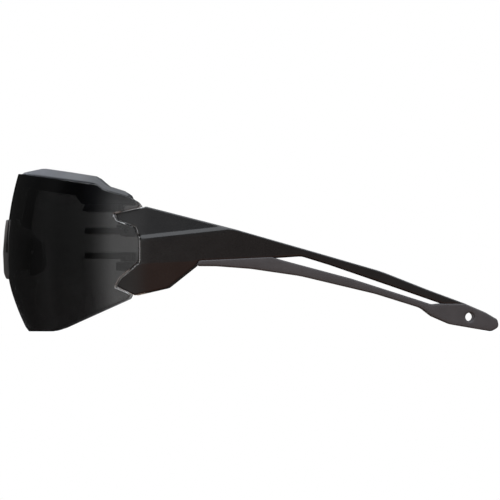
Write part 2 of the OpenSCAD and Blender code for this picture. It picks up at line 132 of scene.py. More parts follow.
# ---------------- outlines in the side view
LENS_OUTLINE = [
    on_top(-6, 0),
    on_top(STEP_Y, 0, 3),
    on_end(STEP_Y + STEP_RUN, 0, 3),
    on_end(LENS_REAR - 3.2, 0, 1),
    (LENS_REAR - 1, CLIP_Z + 3.4, 2),
    (LENS_REAR + 0.3, CLIP_Z + 1.9, 1),
    (LENS_REAR - 0.3, CLIP_Z + 1.1, 0.3),
    (TAB_Y - 0.9, CLIP_Z - 0.8, 0.6),
    (TAB_Y + 0.35, UPPER_TEMPLE_LUG_Z + 1.15, 1),
    (LENS_REAR - 1.3, UPPER_LUG_Z + 2.8, 1.2),
    (LENS_REAR + 0.06, UPPER_LUG_Z - 1, 3),
    (LENS_REAR + 0.06, LOWER_LUG_Z - 0.2, 1),
    (TAB_Y + 1.2, LOWER_TEMPLE_LUG_Z - 2.65, 3),
    (TAB_Y - 0.2, LOWER_TEMPLE_LUG_Z - 5.65, 0.5),
    (LENS_REAR - 2.9, LOWER_TEMPLE_LUG_Z - 7.8, 0.8),
    (LENS_REAR - 3.8, LOWER_TEMPLE_LUG_Z - 9.4, 1),
    (18.7, 0.9, 3),
    (12, 0),
    (-6, 0),
]
BROW_END = LENS_REAR - 1.7
BROW_OUTLINE = [
    (-6, lens_top(6) + 0.5),
    on_top(6, 0.5),
    on_top(10.9, BROW_RISE, 1.5),
    on_top(STEP_Y - 1.5, BROW_RISE, 2),
    on_end(STEP_Y + 3, 1.4, 2),
    on_end(LENS_REAR - 5.3, 1.4, 1.5),
    on_end(LENS_REAR - 3.6, 0.8, 0.8),
    on_end(LENS_REAR - 3, -0.3),
    (BROW_END - 0.3, lens_end(BROW_END) - 1, 0.5),
    (BROW_END - 0.3, TAIL_Z, 0.6),
    (PRONG_FRONT + 0.8, TAIL_Z, 0.5),
    on_top(PRONG_FRONT - 1.8, -BROW_LIP, 1.5),
    on_top(-6, -BROW_LIP),
]
GUARD_OUTLINE = [
    on_top(-6, 0.9),
    on_top(PRONG_FRONT - 0.6, 0.9, 1),
    (PRONG_FRONT, TAIL_Z + 2.4, 1),
    on_top(PRONG_FRONT - 1.8, -BROW_LIP, 1.5),
    on_top(-6, -BROW_LIP),
]
PAD_Y, PAD_Z = 11.6, ARCH_TOP - 1.1
PAD_OUTLINE = [
    (PAD_Y - 2.7, PAD_Z - 7.4, 0.9),
    (PAD_Y + 1.8, PAD_Z - 5.4, 1.6),
    (PAD_Y + 2.6, PAD_Z - 2.8, 1.6),
    (PAD_Y + 2.1, PAD_Z + 4.6, 1.8),
    (PAD_Y - 2.3, PAD_Z + 7.4, 0.9),
]
ARM_OUTLINE = [
    (TAB_Y, CLIP_Z - 0.8, 0.4),
    (LENS_REAR + 2.4, CLIP_Z + 1.5, 2),
    blade(0.166, 12.8),
    blade(0.535, 10.3, 30),
    blade(0.822, 8.3, 30),
    (OVERALL_L - 24, TIP_Z + 4.9, 20),
    (TIP_Y, TIP_Z),
    (OVERALL_L - 18.4, TIP_Z),
    blade(0.891, 3.9),
    blade(0.591, 7.2, 20),
    (FORK_Y + 8.8, FORK_Z + 0.6, 5),
    (FORK_Y, FORK_Z),
    (BLADE_FRONT, LOWER_LUG_Z + 0.1),
    (TAB_Y + 26.6, LOWER_TEMPLE_LUG_Z + 1.6, 0.3),
    (TAB_Y + 17.3, LOWER_TEMPLE_LUG_Z - 5.8, 3),
    (TAB_Y + 6.5, LOWER_TEMPLE_LUG_Z - 8.3, 1),
    (TAB_Y + 0.3, LOWER_TEMPLE_LUG_Z - 5.3, 0.5),
    (TAB_Y + 1.6, LOWER_TEMPLE_LUG_Z - 2.9, 3),
    (ARM_FRONT, LOWER_LUG_Z - 0.4, 1),
    (ARM_FRONT, UPPER_LUG_Z - 1, 3),
    (ARM_FRONT - 1.2, CLAW_Z, 1.2),
    (TAB_Y + 0.6, UPPER_TEMPLE_LUG_Z + 1.4, 1),
]
GRIP_FRONT = TAB_Y + 27
GRIP_OUTLINE = [
    (GRIP_FRONT - 0.2, LOWER_TEMPLE_LUG_Z + 1.6, 0.2),
    (GRIP_FRONT + 0.9, LOWER_LUG_Z + 0.3),
    (FORK_Y - 1, FORK_Z + 0.25),
    (FORK_Y + 1.2, FORK_Z - 0.45),
    (FORK_Y + 5, FORK_Z - 1.5, 6),
    blade(0.685, 4),
    (BLADE_REAR, TIP_Z + 1.1),
    (OVERALL_L - 22.4, TIP_Z - FIT, 3),
    (OVERALL_L - 19, TIP_Z + 0.2),
    (TIP_Y - 0.6, TIP_Z + 0.2),
    (TIP_Y + 0.6, TIP_Z - 0.3),
    (OVERALL_L - 4.6, 6.4, 4),
    (OVERALL_L - 0.5, 4, 1.5),
    (OVERALL_L, 1.5, 1.5),
    (OVERALL_L - 2.6, 0, 2),
    (OVERALL_L - 16, 2.3, 6),
    (OVERALL_L - 22.2, 5, 4),
    (OVERALL_L - 25.8, 7.8, 5),
    blade(0.8, 0.5, 20),
    blade(0.454, 1.6, 20),
    blade(0.227, 0.8, 20),
    (GRIP_FRONT + 6, LOWER_TEMPLE_LUG_Z + 1.55, 5),
]
LANYARD = (OVERALL_L - 9.7, 4.8)
ARCH_SIDE = [
    (ARCH_HALF_W + 6, -6.4),
    (ARCH_HALF_W + 0.4, -0.6, 1),
    (ARCH_HALF_W - 2.4, 1.4, 3),
    (ARCH_HALF_W - 9, 9, 8),
    (8.4, 17.6, 5),
    (BRIDGE_HALF_W + 0.8, ARCH_TOP, 3),
]


# ---------------- flat outlines
def rounded(points, fine=12):
    """The outline with each corner that has a radius turned into an arc."""
    out = []
    n = len(points)
    for i, p in enumerate(points):
        if len(p) < 3:
            out.append(p[:2])
            continue
        a, b, c = (np.array(points[k % n][:2], float) for k in (i - 1, i, i + 1))
        u, v = (a - b) / norm(a - b), (c - b) / norm(c - b)
        half = acos(max(-1, min(1, u @ v))) / 2
        room = 0.45 * min(norm(a - b), norm(c - b))
        r = min(p[2], room * tan(half))
        centre = b + (u + v) / norm(u + v) * r / sin(half)
        start = b + u * r / tan(half) - centre
        turn = (1 if u[0] * v[1] - u[1] * v[0] > 0 else -1) * (2 * half - pi)
        steps = max(1, ceil(abs(turn) / radians(fine)))
        for k in range(steps + 1):
            w = turn * k / steps
            out.append(tuple(centre + (start[0] * cos(w) - start[1] * sin(w),
                                       start[0] * sin(w) + start[1] * cos(w))))
    return np.array(out, float)


def resampled(line, step, closed=True):
    """The line, by default a loop, with no side longer than step, and no two points on one place."""
    line = np.array(line, float)
    out = []
    for a, b in zip(line, np.roll(line, -1, 0) if closed else line[1:]):
        gap = norm(b - a)
        if gap >= 1e-4:
            n = max(1, ceil(gap / step))
            out += [a + (b - a) * k / n for k in range(n)]
    return np.array(out if closed else [*out, line[-1]])


def area(loop):
    """The loop's area, above zero where it runs anticlockwise."""
    nxt = np.roll(loop, -1, 0)
    return 0.5 * float((loop[:, 0] * nxt[:, 1] - loop[:, 1] * nxt[:, 0]).sum())


def edge_distance(p, loops, at_once=1500):
    """How far each point is from the nearest side of the loops, some points at a time."""
    best = np.full(len(p), 1e9)
    for loop in loops:
        d = np.roll(loop, -1, 0) - loop
        dd = np.maximum((d * d).sum(1), 1e-12)
        for k in range(0, len(p), at_once):
            q = p[k:k + at_once, None, :] - loop[None]
            t = np.clip((q * d).sum(2) / dd, 0, 1)
            e = q - t[..., None] * d
            best[k:k + at_once] = np.minimum(best[k:k + at_once], np.sqrt((e * e).sum(2)).min(1))
    return best


def inside(p, loops):
    """Whether each point lies inside the first loop and outside the others."""
    odd = np.zeros(len(p), bool)
    for loop in loops:
        for (ax, ay), (bx, by) in zip(loop, np.roll(loop, -1, 0)):
            if ay != by:
                odd ^= ((ay > p[:, 1]) != (by > p[:, 1])) & (
                    p[:, 0] < (bx - ax) * (p[:, 1] - ay) / (by - ay) + ax)
    return odd


def span(loop, y):
    """Lowest and highest z of an outline at one y."""
    zs = []
    for (ay, az), (by, bz) in zip(loop, np.roll(loop, -1, 0)):
        if (ay - y) * (by - y) <= 0 and ay != by:
            zs.append(az + (bz - az) * (y - ay) / (by - ay))
    return (min(zs), max(zs)) if zs else None


# ---------------- meshes
def inset(loop, depth):
    """The loop's points moved in by depth, along the mean normal of their two sides."""
    a = loop - np.roll(loop, 1, 0)
    b = np.roll(loop, -1, 0) - loop
    way = a / norm(a, axis=1)[:, None] + b / norm(b, axis=1)[:, None]
    n = np.stack([-way[:, 1], way[:, 0]], 1)
    return loop + n / np.maximum(norm(n, axis=1), 1e-9)[:, None] * depth


def rim_points(loops, depths, gap):
    """Points at each depth in from the loops, where they have room, each more than gap from the last."""
    points = []
    for depth in depths:
        for loop in loops:
            ring = inset(loop, depth)
            last = None
            for q in ring[(edge_distance(ring, loops) > depth * 0.96) & inside(ring, loops)]:
                if last is None or norm(q - last) > gap:
                    points.append(q)
                    last = q
    return np.array(points)


def grid_points(loops, step, margin):
    """A grid of triangles inside the loops and more than margin from them."""
    low, high = loops[0].min(0), loops[0].max(0)
    columns = np.arange(low[0], high[0], step)
    rows = np.arange(low[1], high[1], step * 0.87)
    grid = np.array([(x + (step / 2 if j % 2 else 0), y) for j, y in enumerate(rows) for x in columns])
    grid = grid[inside(grid, loops)]
    return grid[edge_distance(grid, loops) > margin]


def clear_of(points, line, gap):
    """The points that lie more than gap from an open line."""
    return points[edge_distance(points, [np.concatenate([line, line[::-1]])]) > gap]


def triangulated(points, edges, loops):
    """The points that are used, and the triangles inside the loops, all turned one way."""
    verts, _, tris = delaunay_2d_cdt([Vector(p) for p in points], edges, [], 0, 1e-5)[:3]
    flat = np.array([tuple(v) for v in verts])
    tris = np.array([t for t in tris if len(t) == 3])
    tris = tris[inside(flat[tris].mean(1), loops)]
    used = np.unique(tris)
    index = np.full(len(flat), -1)
    index[used] = np.arange(len(used))
    flat, tris = flat[used], index[tris]
    a, b, c = (flat[tris[:, k]] for k in range(3))
    turn = (b[:, 0] - a[:, 0]) * (c[:, 1] - a[:, 1]) - (b[:, 1] - a[:, 1]) * (c[:, 0] - a[:, 0])
    tris[turn < 0] = tris[turn < 0][:, ::-1]
    return flat, tris


def border(tris):
    """The edges that belong to one triangle only."""
    once = {}
    for t in tris:
        for k in range(3):
            a, b = int(t[k]), int(t[(k + 1) % 3])
            if (b, a) in once:
                once.pop((b, a))
            else:
                once[a, b] = True
    return list(once)


def plate(loops, place, top, bottom, r_top, r_bottom, step=1.6, side=0.6, lines=(), rings=4, hems=()):
    """A plate with rounded edges: the outline (first loop) less the other loops.

    top and bottom are depths, or give one at each flat point, and place(p, depth) puts it in space. step is
    the size of the mesh on its faces, side that along its edges, and lines are creases that the mesh follows.
    hems are rings of points just inside the rounding, so that the face is shaded flat up to it.
    """
    loops = [resampled(loop, side) for loop in loops]
    loops = [loop if (area(loop) > 0) == (k == 0) else loop[::-1] for k, loop in enumerate(loops)]
    r = max(r_top, r_bottom)
    points, edges = [], []
    for loop in loops:
        n = len(points)
        points += list(loop)
        edges += [(n + k, n + (k + 1) % len(loop)) for k in range(len(loop))]
    round_depths = [r * (1 - cos(pi / 2 * k / rings)) for k in range(1, rings + 1)]
    rim_gap, grid_margin, grid_clear, rim_clear = 0.35 * side, 0.5 * step, 0.4 * step, 0.12
    rim = rim_points(loops, round_depths + [r + hem for hem in hems], rim_gap)
    grid = grid_points(loops, step, r + grid_margin)
    for line in lines:
        line = np.array(line, float)
        grid = clear_of(grid, line, grid_clear)
        rim = clear_of(rim, line, rim_clear)
        n = len(points)
        points += list(line)
        edges += [(n + k, n + k + 1) for k in range(len(line) - 1)]
    flat, tris = triangulated(points + list(rim) + list(grid), edges, loops)
    from_edge = edge_distance(flat, loops)
    from_edge[from_edge < 2e-4] = 0

    def face_depth(depth):
        return depth(flat) if callable(depth) else np.full(len(flat), float(depth))

    def drop(radius):
        """How far the rounded edge lies below the face."""
        e = np.clip(from_edge, 0, radius)
        return radius - np.sqrt(np.maximum(radius ** 2 - (radius - e) ** 2, 0))

    outer = place(flat, face_depth(top) + drop(r_top))
    inner = place(flat, face_depth(bottom) - drop(r_bottom))
    n = len(flat)
    faces = [tuple(t) for t in tris] + [tuple(t[::-1] + n) for t in tris]
    faces += [(b, a, a + n, b + n) for a, b in border(tris)]
    return np.concatenate([outer, inner]), faces


def loft(rings):
    """A closed tube through the rings, which all have as many points, with its two ends filled."""
    m = len(rings[0])
    verts = np.concatenate(rings)
    faces = []
    for k in range(len(rings) - 1):
        for i in range(m):
            j = (i + 1) % m
            faces.append((k * m + i, k * m + j, (k + 1) * m + j, (k + 1) * m + i))
    faces.append(tuple(range(m))[::-1])
    faces.append(tuple(range((len(rings) - 1) * m, len(rings) * m)))
    return verts, faces


def joined(*parts):
    """Several shapes as one."""
    verts, faces, n = [], [], 0
    for v, f in parts:
        verts.append(v)
        faces += [tuple(int(i) + n for i in face) for face in f]
        n += len(v)
    return np.concatenate(verts), faces


def to_frame(v):
    """Millimetres from the front, as here, to metres in the shared frame."""
    return (np.asarray(v, float) - (0, OVERALL_L / 2, 0)) * MM


def from_frame(v):
    return np.asarray(v, float) / MM + (0, OVERALL_L / 2, 0)


def make(name, shape, body, material, flip=False, replaces=()):
    """A piece on a CAD body, mirrored to the other side where flip says so."""
    verts, faces = shape
    verts = to_frame(verts)
    if flip:
        verts = verts * (-1, 1, 1)
        faces = [tuple(f)[::-1] for f in faces]
    mesh = bpy.data.meshes.new(name)
    mesh.from_pydata([tuple(v) for v in verts], [], [tuple(int(i) for i in f) for f in faces])
    mesh.validate()
    mesh.calc_loop_triangles()
    co = np.array([v.co for v in mesh.vertices])
    a, b, c = (co[[t.vertices[k] for t in mesh.loop_triangles]] for k in range(3))
    inside_out = (a * np.cross(b, c)).sum() < 0
    if inside_out:
        mesh.flip_normals()
    mesh.polygons.foreach_set("use_smooth", [True] * len(mesh.polygons))
    mesh.materials.append(material)
    piece = bpy.data.objects.new(name, mesh)
    scene.collection.objects.link(piece)
    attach(piece, body)
    if replaces:
        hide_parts(*replaces)
    return piece


def weighted(piece):
    """Shades each facet flat up to its rounded edges."""
    m = piece.modifiers.new("facets", "WEIGHTED_NORMAL")
    m.weight = 80
    m.keep_sharp = False


# ---------------- places on the curved shells
def fall(z, t=0.0):
    """What the curve from top to foot adds to the lens's plan radius at this height, t deep: 0 or less."""
    return np.sqrt(np.maximum((RISE_R - t) ** 2 - (z - EQUATOR_Z) ** 2, 0)) - RISE_R


def shell(u, z, t):
    """u is the distance round the lens's outer face from its middle, t the depth in from it."""
    s = fall(z, t)
    a = np.abs(u) / FRONT_R
    b = BEND + (np.abs(u) - FRONT_R * BEND) / SIDE_R
    front = a <= BEND
    x = np.where(front, (FRONT_R + s) * np.sin(a), SIDE_AXIS_X + (SIDE_R + s) * np.sin(b))
    y = np.where(front, FRONT_AXIS_Y - (FRONT_R + s) * np.cos(a), SIDE_AXIS_Y - (SIDE_R + s) * np.cos(b))
    return np.stack([np.sign(u) * x + (u == 0) * 0, y, z + 0 * x], -1)


def round_at(y, z, t=0.0):
    """The distance round the outer face of the point t deep that lies at this y and height."""
    s = fall(z, t)
    c = (FRONT_AXIS_Y - y) / (FRONT_R + s)
    if c >= cos(BEND):
        return FRONT_R * acos(min(1, c))
    return FRONT_R * BEND + SIDE_R * (acos((SIDE_AXIS_Y - y) / (SIDE_R + s)) - BEND)


def y_round(u, z, t=0.0):
    """The distance from the front of the point t deep that lies u round the lens at this height."""
    return float(shell(np.array(float(u)), np.array(float(z)), t)[1])


def on_shell(p, t):
    """A point of the lens's unrolled outline at a depth in from its outer face."""
    return shell(p[:, 0], p[:, 1], t)


def unrolled(outline, t=0.0):
    """A side-view outline, unrolled round the lens."""
    return np.array([(round_at(y, z, t), z) for y, z in outline])


def on_temple(p, t):
    """A side-view point at a depth in from the temple's outer face."""
    y = p[:, 0]
    aft = (y - SIDE_AXIS_Y) ** 2
    round_side = SIDE_AXIS_X + np.sqrt(np.maximum((SIDE_R - t) ** 2 - aft, 0))
    along_temple = SIDE_AXIS_X + SIDE_R - TEMPLE_R + np.sqrt((TEMPLE_R - t) ** 2 - aft)
    x = np.where(y < SIDE_AXIS_Y, round_side, along_temple)
    return np.stack([x, y, p[:, 1]], -1)


# ---------------- materials
# Grains: the scale of the noise, and its height in metres.
FINE, SOFT, EDGE_HIGHLIGHT_GRAIN = (5200, 0.00001), (4200, 0.00002), (5200, 0.000005)


def feed(socket, source):
    """Links an input to another node's output, or sets its value."""
    if isinstance(source, bpy.types.NodeSocket):
        socket.id_data.links.new(source, socket)
    else:
        socket.default_value = source


def give(shader, **inputs):
    """Feeds a node's inputs by name, where _ stands for a space."""
    for key, source in inputs.items():
        feed(shader.inputs[key.replace("_", " ")], source)


def node(nt, kind, *given, **settings):
    """A node with its settings, and with its first inputs fed, or left where None is given."""
    n = nt.nodes.new(kind)
    for key, value in settings.items():
        setattr(n, key, value)
    for socket, source in zip(n.inputs, given):
        if source is not None:
            feed(socket, source)
    return n


def calc(nt, operation, *given):
    return node(nt, "ShaderNodeMath", *given, operation=operation).outputs[0]


def times(nt, colour, *levels):
    """A colour multiplied by each of the levels."""
    for level in levels:
        colour = node(nt, "ShaderNodeVectorMath", colour, level, operation="MULTIPLY").outputs[0]
    return colour


def plus(nt, a, b):
    return node(nt, "ShaderNodeVectorMath", a, b, operation="ADD").outputs[0]


def place_of(nt, space="Object"):
    """X, Y and Z of each point in metres or, with Generated in the world, of each direction."""
    coord = node(nt, "ShaderNodeTexCoord")
    return node(nt, "ShaderNodeSeparateXYZ", coord.outputs[space]).outputs


def noise(nt, scale, detail):
    """Noise on the object's own coordinates, which are metres."""
    coord = node(nt, "ShaderNodeTexCoord")
    n = node(nt, "ShaderNodeTexNoise", coord.outputs["Object"])
    give(n, Scale=scale, Detail=detail)
    return n.outputs["Fac"]


def stops(nt, source, table, interpolation="LINEAR"):
    """Colours, or grey levels, at places of the source, from pairs of place and colour."""
    r = node(nt, "ShaderNodeValToRGB", source)
    r.color_ramp.interpolation = interpolation
    steps = r.color_ramp.elements
    for k, (position, colour) in enumerate(table):
        e = steps[k] if k < 2 else steps.new(1.0)
        e.position = position
        e.color = (*np.broadcast_to(colour, 3), 1)
    return r.outputs[0]


def cloudy(nt, scale, detail, low, high):
    """A colour that wanders between two."""
    return stops(nt, noise(nt, scale, detail), [(0.3, low), (0.7, high)])


def spread(nt, source, low, high, start=0.3, end=0.7):
    """A number between two, over a stretch of the source."""
    return node(nt, "ShaderNodeMapRange", source, start, end, low, high).outputs["Result"]


def frame_y(y):
    """A distance from the front, in millimetres, as a place in the frame."""
    return (y - OVERALL_L / 2) * MM


def material(name):
    """A new material with its tree, its shader and its output."""
    m = bpy.data.materials.new(name)
    m.use_nodes = True
    nt = m.node_tree
    nt.nodes.clear()
    out = node(nt, "ShaderNodeOutputMaterial")
    bsdf = node(nt, "ShaderNodeBsdfPrincipled")
    give(out, Surface=bsdf.outputs[0])
    return m, nt, bsdf, out


def bump(nt, source, height):
    """A normal for a surface that is raised by up to height, in metres."""
    b = node(nt, "ShaderNodeBump")
    give(b, Strength=0.6, Distance=height, Height=source)
    return b.outputs[0]


def moulded(name, dark, light, rough, grain):
    """Moulded plastic or rubber: a little cloudiness, and a grain in its gloss and surface."""
    m, nt, bsdf, _ = material(name)
    scale, height = grain
    fine = noise(nt, scale, 2)
    give(bsdf, Base_Color=cloudy(nt, 160, 4, dark, light), Normal=bump(nt, fine, height),
         Roughness=spread(nt, fine, rough - 0.05, rough + 0.05))
    return m


def shaded(m, level):
    """Multiplies a moulded material's colour by a level."""
    base = m.node_tree.nodes["Principled BSDF"].inputs["Base Color"]
    feed(base, times(m.node_tree, base.links[0].from_socket, level))
    return m


def smoke_lens():
    """Smoke polycarbonate: darkest at the front, lighter over the wings, and deep through its edges."""
    m, nt, bsdf, out = material("smoke_lens")
    run = 40.0
    back = spread(nt, place_of(nt)["Y"], 0, 1, frame_y(0), frame_y(run))
    tints = [(2.6, 0.08), (4.4, 0.136), (26, 0.136), (38, 0.24)]
    tint = stops(nt, back, [(y / run, level) for y, level in tints], "EASE")
    give(bsdf, Base_Color=times(nt, tint, cloudy(nt, 60, 2, 0.97, 1)), Roughness=0.0, Transmission_Weight=1.0,
         IOR=1.02, Coat_Weight=1.0, Coat_Roughness=0.0, Coat_IOR=1.5)
    give(out, Volume=node(nt, "ShaderNodeVolumeAbsorption", (0.02, 0.02, 0.02, 1), 120.0).outputs[0])
    return m


def brushed_steel():
    """The steel of the pins and wires."""
    m, nt, bsdf, _ = material("pin_steel")
    grain = noise(nt, 4000, 2)
    give(bsdf, Base_Color=cloudy(nt, 300, 3, (0.42, 0.42, 0.43), (0.6, 0.6, 0.61)), Metallic=1.0,
         Roughness=spread(nt, grain, 0.22, 0.4), Normal=bump(nt, grain, 0.00001))
    return m


def brow_nylon_painted_shading():
    """The bar's grey nylon with painted light and shade: paler towards the middle, darker towards its rear,
    and painted shade on its lip behind the lens.
    """
    palest_y, tail_y, darkest_y = 9, 29.5, 32
    m = moulded("brow_nylon_painted_shading", (0.16, 0.164, 0.178), (0.18, 0.184, 0.2), 0.45, FINE)
    nt = m.node_tree
    at = place_of(nt)
    # painted light and shade: the colour is full at palest_y and falls to 0.19 of it at darkest_y and beyond
    back = spread(nt, at["Y"], 1, 0.19, frame_y(palest_y), frame_y(darkest_y))
    level_height = calc(nt, "MULTIPLY_ADD", at["Y"], tan(TOP_SLOPE), at["Z"])
    lens_edge = lens_top(OVERALL_L / 2) * MM
    # painted shade: below the lens's top edge, on the lip behind the lens, the colour falls to 0.12; the tail
    # past tail_y is spared it
    face = spread(nt, level_height, 0.12, 1, lens_edge - 0.0004, lens_edge + 0.0002)
    tail = spread(nt, at["Y"], 0, 1, frame_y(tail_y), frame_y(darkest_y))
    return shaded(m, calc(nt, "MULTIPLY", calc(nt, "MAXIMUM", face, tail), back))


def nose_rubber_painted_light():
    """Grey rubber with painted light: paler towards its top, where light from above falls."""
    m = moulded("nose_rubber_painted_light", (0.045, 0.044, 0.044), (0.06, 0.058, 0.058), 0.5, SOFT)
    height = place_of(m.node_tree)["Z"]
    # painted light: the colour rises from 0.85 to 4.2 times over the bridge's upper part
    return shaded(m, spread(m.node_tree, height, 0.85, 4.2, (ARCH_TOP + 2.6) * MM, (ARCH_TOP + 10.6) * MM))


LENS_MAT = smoke_lens()
FRAME_MAT = moulded("frame_nylon", (0.012, 0.012, 0.013), (0.018, 0.018, 0.019), 0.36, FINE)
BROW_MAT = brow_nylon_painted_shading()
ARM_MAT = moulded("temple_nylon", (0.0048, 0.0044, 0.0042), (0.0085, 0.0078, 0.0074), 0.31, FINE)
GRIP_MAT = moulded("soft_grip", (0.06, 0.056, 0.059), (0.075, 0.07, 0.073), 0.6, SOFT)
HINGE_MAT = moulded("hinge_nylon", 0.1, 0.13, 0.5, FINE)
BRIDGE_MAT = nose_rubber_painted_light()
# painted highlight: a near-white material for thin light lines along edges
EDGE_HIGHLIGHT_MAT = moulded("painted_edge_highlight", 0.75, 0.85, 0.35, EDGE_HIGHLIGHT_GRAIN)
SOFT_MAT = moulded("soft_rubber", 0.014, 0.022, 0.55, SOFT)
STEEL_MAT = brushed_steel()

# ---------------- lens
LENS_LINE, BROW_LINE, GUARD_LINE = (rounded(o) for o in (LENS_OUTLINE, BROW_OUTLINE, GUARD_OUTLINE))


def lens_loop():
    """The lens's outline, unrolled: from the middle of its top round to the arch, and the mirror of that."""
    wing_y, foot_y, foot_end, foot_rise, foot_run, foot_fall = 27, 14, 10, 0.9, 8, 3.4
    half = []
    z = lens_top(5)
    for u in np.arange(0, round_at(wing_y, lens_top(wing_y)), 1.0):
        for _ in range(12):
            z = lens_top(y_round(u, z))
        half.append((float(u), z))
    wing = [(y, z) for y, z in LENS_LINE if y > wing_y + 0.5 or (y > foot_y and z < foot_end)]
    half += list(unrolled(resampled(wing, 0.8, closed=False)))
    arch = rounded(ARCH_SIDE + [(-(BRIDGE_HALF_W + 0.8), ARCH_TOP, 3)])
    arch = [(x, z) for x, z in arch if x > -0.01 and z > foot_rise]
    foot_u = half[-1][0]
    arch_u = FRONT_R * asin(arch[0][0] / (FRONT_R - foot_fall)) + 2.2
    half += [(u, foot_rise * max(0, (u - foot_u + foot_run) / foot_run) ** 2)
             for u in np.linspace(foot_u, arch_u, 24)[1:]]
    half += [(FRONT_R * asin(x / (FRONT_R + fall(z))), z) for x, z in arch]
    half.append((0.0, ARCH_TOP))
    return np.array(half + [(-u, z) for u, z in half[::-1] if u > 1e-6])


LENS_EDGE_R = 0.16
lens_shape = plate([lens_loop()], on_shell, 0, LENS_T, LENS_EDGE_R, LENS_EDGE_R,
                   step=1.5, side=0.5, rings=3, hems=[0.15])
lens = make("lens_shield", lens_shape, "front", LENS_MAT, replaces=["lens"])


# ---------------- brow bar and its soft guard
def arc(centre, r, a0, a1, n=5):
    """Points from one angle to another, in degrees, about a centre."""
    turns = [radians(a0 + (a1 - a0) * k / n) for k in range(n + 1)]
    return [(centre[0] + r * cos(a), centre[1] + r * sin(a)) for a in turns]


def brow_section(y_face, y_lip):
    """The bar's section: a slanted face above the lens's edge, a flat top, and a lip behind the lens."""
    least = 0.15
    high = span(BROW_LINE, y_face)[1]
    low = min(span(BROW_LINE, y_lip)[0], high - 2 * least)
    lens_edge = span(LENS_LINE, y_face)[1]
    front = BROW_BACK if high > lens_edge + FIT else LENS_T + FIT
    seat = lens_edge + FIT if high - lens_edge > FIT + least else high - least
    rise = high - seat
    back = LENS_T + BROW_T
    slant = min((0.9 - 0.4 * y_face / STEP_Y) * rise, back - front - 1.2)
    small, tiny = min(0.5, 0.3 * (high - low)), min(0.25, 0.2 * (high - low))
    edge = min(0.2, 0.2 * rise)
    lip = LENS_T + FIT
    pts = [(front, seat), (front + 0.02, seat + 0.16 * rise), (front + 0.12, seat + 0.26 * rise),
           (front + slant - 0.05 * rise, high - edge - 0.06 * rise)]
    pts += arc((front + slant + edge, high - edge), edge, 150, 90, 3)
    pts += arc((back - small, high - small), small, 90, 0)
    pts += arc((back - small, low + small), small, 0, -90)
    pts += arc((lip + tiny, low + tiny), tiny, -90, -180, 3)
    return pts + [(lip, seat - 0.02)]


def swept(section, z_of, y_end, t_face, t_lip):
    """A loft round the front, at the height z_of(y), with closer rings towards its ends at y_end.

    section gets the distance from the front of the points t_face and t_lip deep.
    """
    u_end = round_at(y_end, z_of(y_end), t_lip)
    half = list(np.linspace(0, u_end - 2.5, 100))
    half += [u_end - short for short in (2, 1.5, 1.1, 0.8, 0.5, 0.3, 0.15, 0.04)]
    rings = []
    for u in [-v for v in half[:0:-1]] + half:
        z = z_of(10)
        for _ in range(10):
            z = z_of(min(max(y_round(abs(u), z), 0), y_end))
        ys = [min(y_round(abs(u), z, t), y_end - 1e-3) for t in (t_face, t_lip)]
        pts = np.array(section(*ys))
        rings.append(shell(np.full(len(pts), u if u else 1e-9), pts[:, 1], pts[:, 0]))
    return loft(rings)


brow_shape = swept(brow_section, lambda y: span(LENS_LINE, y)[1], BROW_LINE[:, 0].max() - 0.03,
                   t_face=BROW_BACK, t_lip=3.4)
make("brow_bar_shell", brow_shape, "front", BROW_MAT, replaces=["brow_bar"])


def guard_section(_, y):
    """The guard's section: a strip against the bar's back, rounder on the side of the forehead."""
    low, high = span(GUARD_LINE, y)
    face = LENS_T + BROW_T + FIT
    back = face + GUARD_T
    r = min(1.0, 0.4 * (high - low))
    s = min(0.4, 0.2 * (high - low))
    return (arc((face + s, high - s), s, 180, 90, 3) + arc((back - r, high - r), r, 90, 0, 6)
            + arc((back - r, low + r), r, 0, -90, 6) + arc((face + s, low + s), s, -90, -180, 3))


guard_shape = swept(guard_section, lens_top, GUARD_LINE[:, 0].max() - 0.03, t_face=0, t_lip=5.6)
make("brow_guard_foam", guard_shape, "front", SOFT_MAT, replaces=["brow_guard"])


# ---------------- nose bridge, stem and pads
def by_lens(z, t, gap):
    """A point of the middle section that lies a gap behind the place t deep in the lens."""
    return SET_BACK - fall(z, t) + gap, z


SLIT_GAP, FLANGE_GAP = 0.15, 0.03
BRIDGE_TOP, BRIDGE_LOW = ARCH_TOP + 10.9, ARCH_TOP - 9
BRIDGE_OUTLINE = [
    (1.05, BRIDGE_TOP - 0.1, 0.5),
    (0.55, BRIDGE_TOP - 3.7, 3),
    (0, ARCH_TOP, 8),
    (0.3, BRIDGE_LOW + 2, 4),
    (1.1, BRIDGE_LOW, 0.8),
    (2.4, BRIDGE_LOW, 0.5),
    (4.6, BRIDGE_LOW + 3, 2),
    (BRIDGE_DEPTH, BRIDGE_LOW + 3.4, 1.2),
    (BRIDGE_DEPTH, ARCH_TOP + 6.6, 2),
    (6.2, ARCH_TOP + 8.6, 1.5),
    (*by_lens(BRIDGE_TOP, LENS_T, 1.3), 0.4),
    (*by_lens(BRIDGE_TOP, LENS_T, SLIT_GAP), 0.1),
    *[by_lens(z, LENS_T, SLIT_GAP) for z in (BRIDGE_TOP - 4, BRIDGE_TOP - 7, ARCH_TOP + 1)],
    (by_lens(ARCH_TOP, LENS_T, SLIT_GAP)[0], ARCH_TOP - 0.15, 0.2),
    (by_lens(ARCH_TOP, 0, FLANGE_GAP)[0], ARCH_TOP - 0.15, 0.2),
    *[by_lens(z, 0, FLANGE_GAP) for z in (ARCH_TOP + 1, BRIDGE_TOP - 7, BRIDGE_TOP - 4, BRIDGE_TOP - 0.1)],
]


def across(half_w):
    """Puts a side-view outline across the middle: depth is measured in from one side."""
    return lambda p, t: np.stack([half_w - t, p[:, 0], p[:, 1]], -1)


